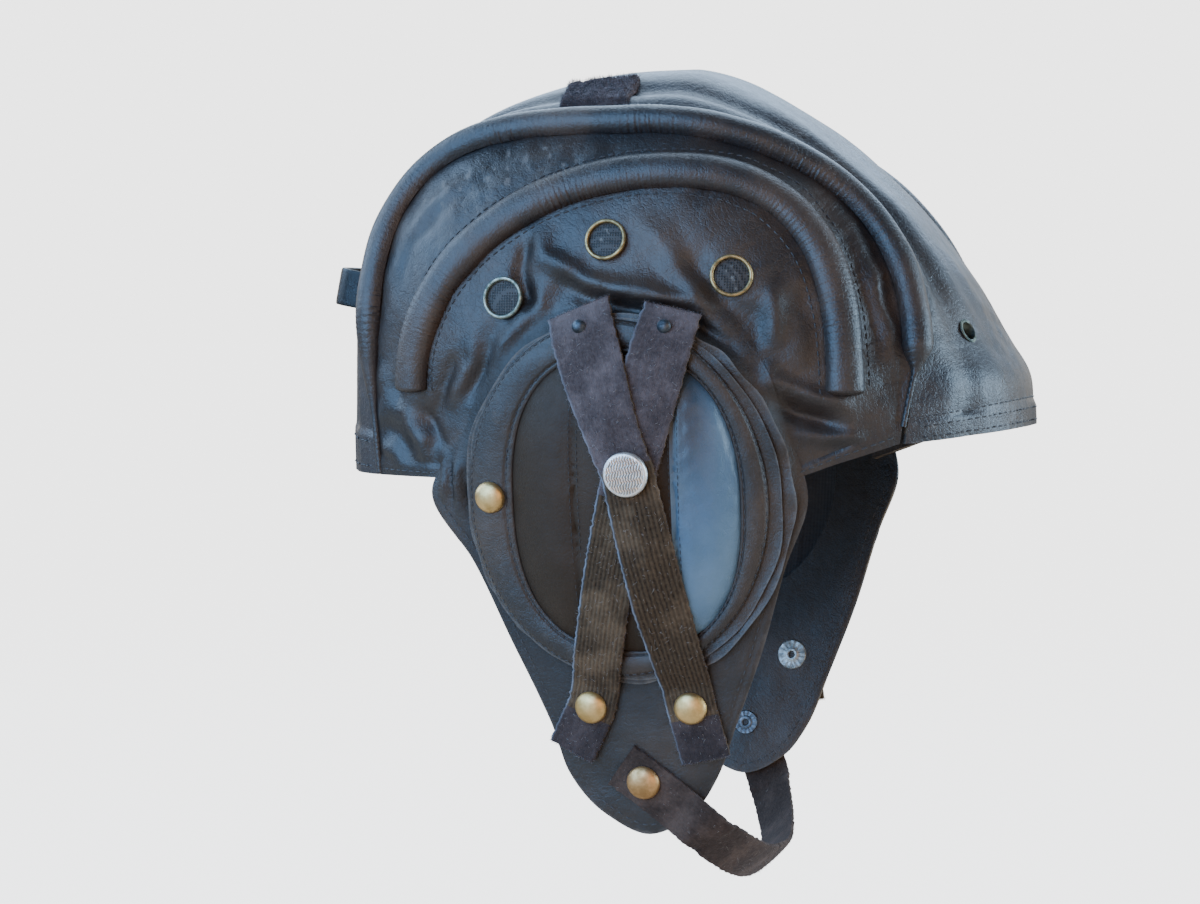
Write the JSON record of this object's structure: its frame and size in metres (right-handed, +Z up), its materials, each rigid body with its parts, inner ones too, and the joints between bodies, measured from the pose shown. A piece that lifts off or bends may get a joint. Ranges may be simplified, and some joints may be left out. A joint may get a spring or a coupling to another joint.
{
  "type": "leather tanker helmet",
  "caption": "Padded leather crewman's helmet: ribbed crown, long ear flaps with round ear cups, crossed elastic straps on brass studs, and a chin strap loop.",
  "frame": {"origin": "inside top of the crown, on the middle plane, where the helmet bears on the top of the head", "axes": "+X towards the face, +Y towards the wearer's left ear, +Z up out of the crown"},
  "size_m": [0.2435, 0.207, 0.2757],
  "materials": {
    "crown_leather": "black leather with a soft sheen and fine grain",
    "side_leather": "black leather with a soft sheen, creased and rubbed at the folds",
    "rib_leather": "thin black leather gathered over padding, glossier than the panels",
    "flap_leather": "black leather, dull, with tan cut edges",
    "cup_leather": "black leather stretched over a dome, satin",
    "elastic": "dark brown ribbed elastic webbing",
    "velour": "dark brown napped velour",
    "brass": "aged, satin",
    "silver_snap": "worn bright plate with a pressed wave pattern",
    "vent_mesh": "dark mesh with small holes",
    "keeper_leather": "glossy black leather strap"
  },
  "bodies": {
    "root": {"crown_panel": "crown_leather", "side_panel_left": "side_leather", "side_panel_right": "side_leather", "main_rib_left": "rib_leather", "main_rib_right": "rib_leather", "inner_rib_left": "rib_leather", "inner_rib_right": "rib_leather", "ear_flap_left": "flap_leather", "ear_flap_right": "flap_leather", "cup_ring_left": "flap_leather", "cup_ring_right": "flap_leather", "ear_cup_left": "cup_leather", "ear_cup_right": "cup_leather", "cup_strap_under_left": "elastic", "cup_strap_under_right": "elastic", "cup_strap_over_left": "elastic", "cup_strap_over_right": "elastic", "chin_strap": "elastic", "vent_ring_rear_left": "brass", "vent_ring_rear_right": "brass", "vent_gauze_rear_left": "vent_mesh", "vent_gauze_rear_right": "vent_mesh", "vent_ring_top_left": "brass", "vent_ring_top_right": "brass", "vent_gauze_top_left": "vent_mesh", "vent_gauze_top_right": "vent_mesh", "vent_ring_front_left": "brass", "vent_ring_front_right": "brass", "vent_gauze_front_left": "vent_mesh", "vent_gauze_front_right": "vent_mesh", "brow_eyelet_left": "brass", "brow_eyelet_right": "brass", "stud_back_left": "brass", "stud_back_right": "brass", "stud_front_left": "brass", "stud_front_right": "brass", "stud_chin_left": "brass", "stud_chin_right": "brass", "stud_rear_left": "brass", "stud_rear_right": "brass", "cup_snap_left": "silver_snap", "cup_snap_right": "silver_snap", "crown_tab_left": "velour", "crown_tab_right": "velour", "rear_keeper": "keeper_leather"}
  },
  "joints": []
}
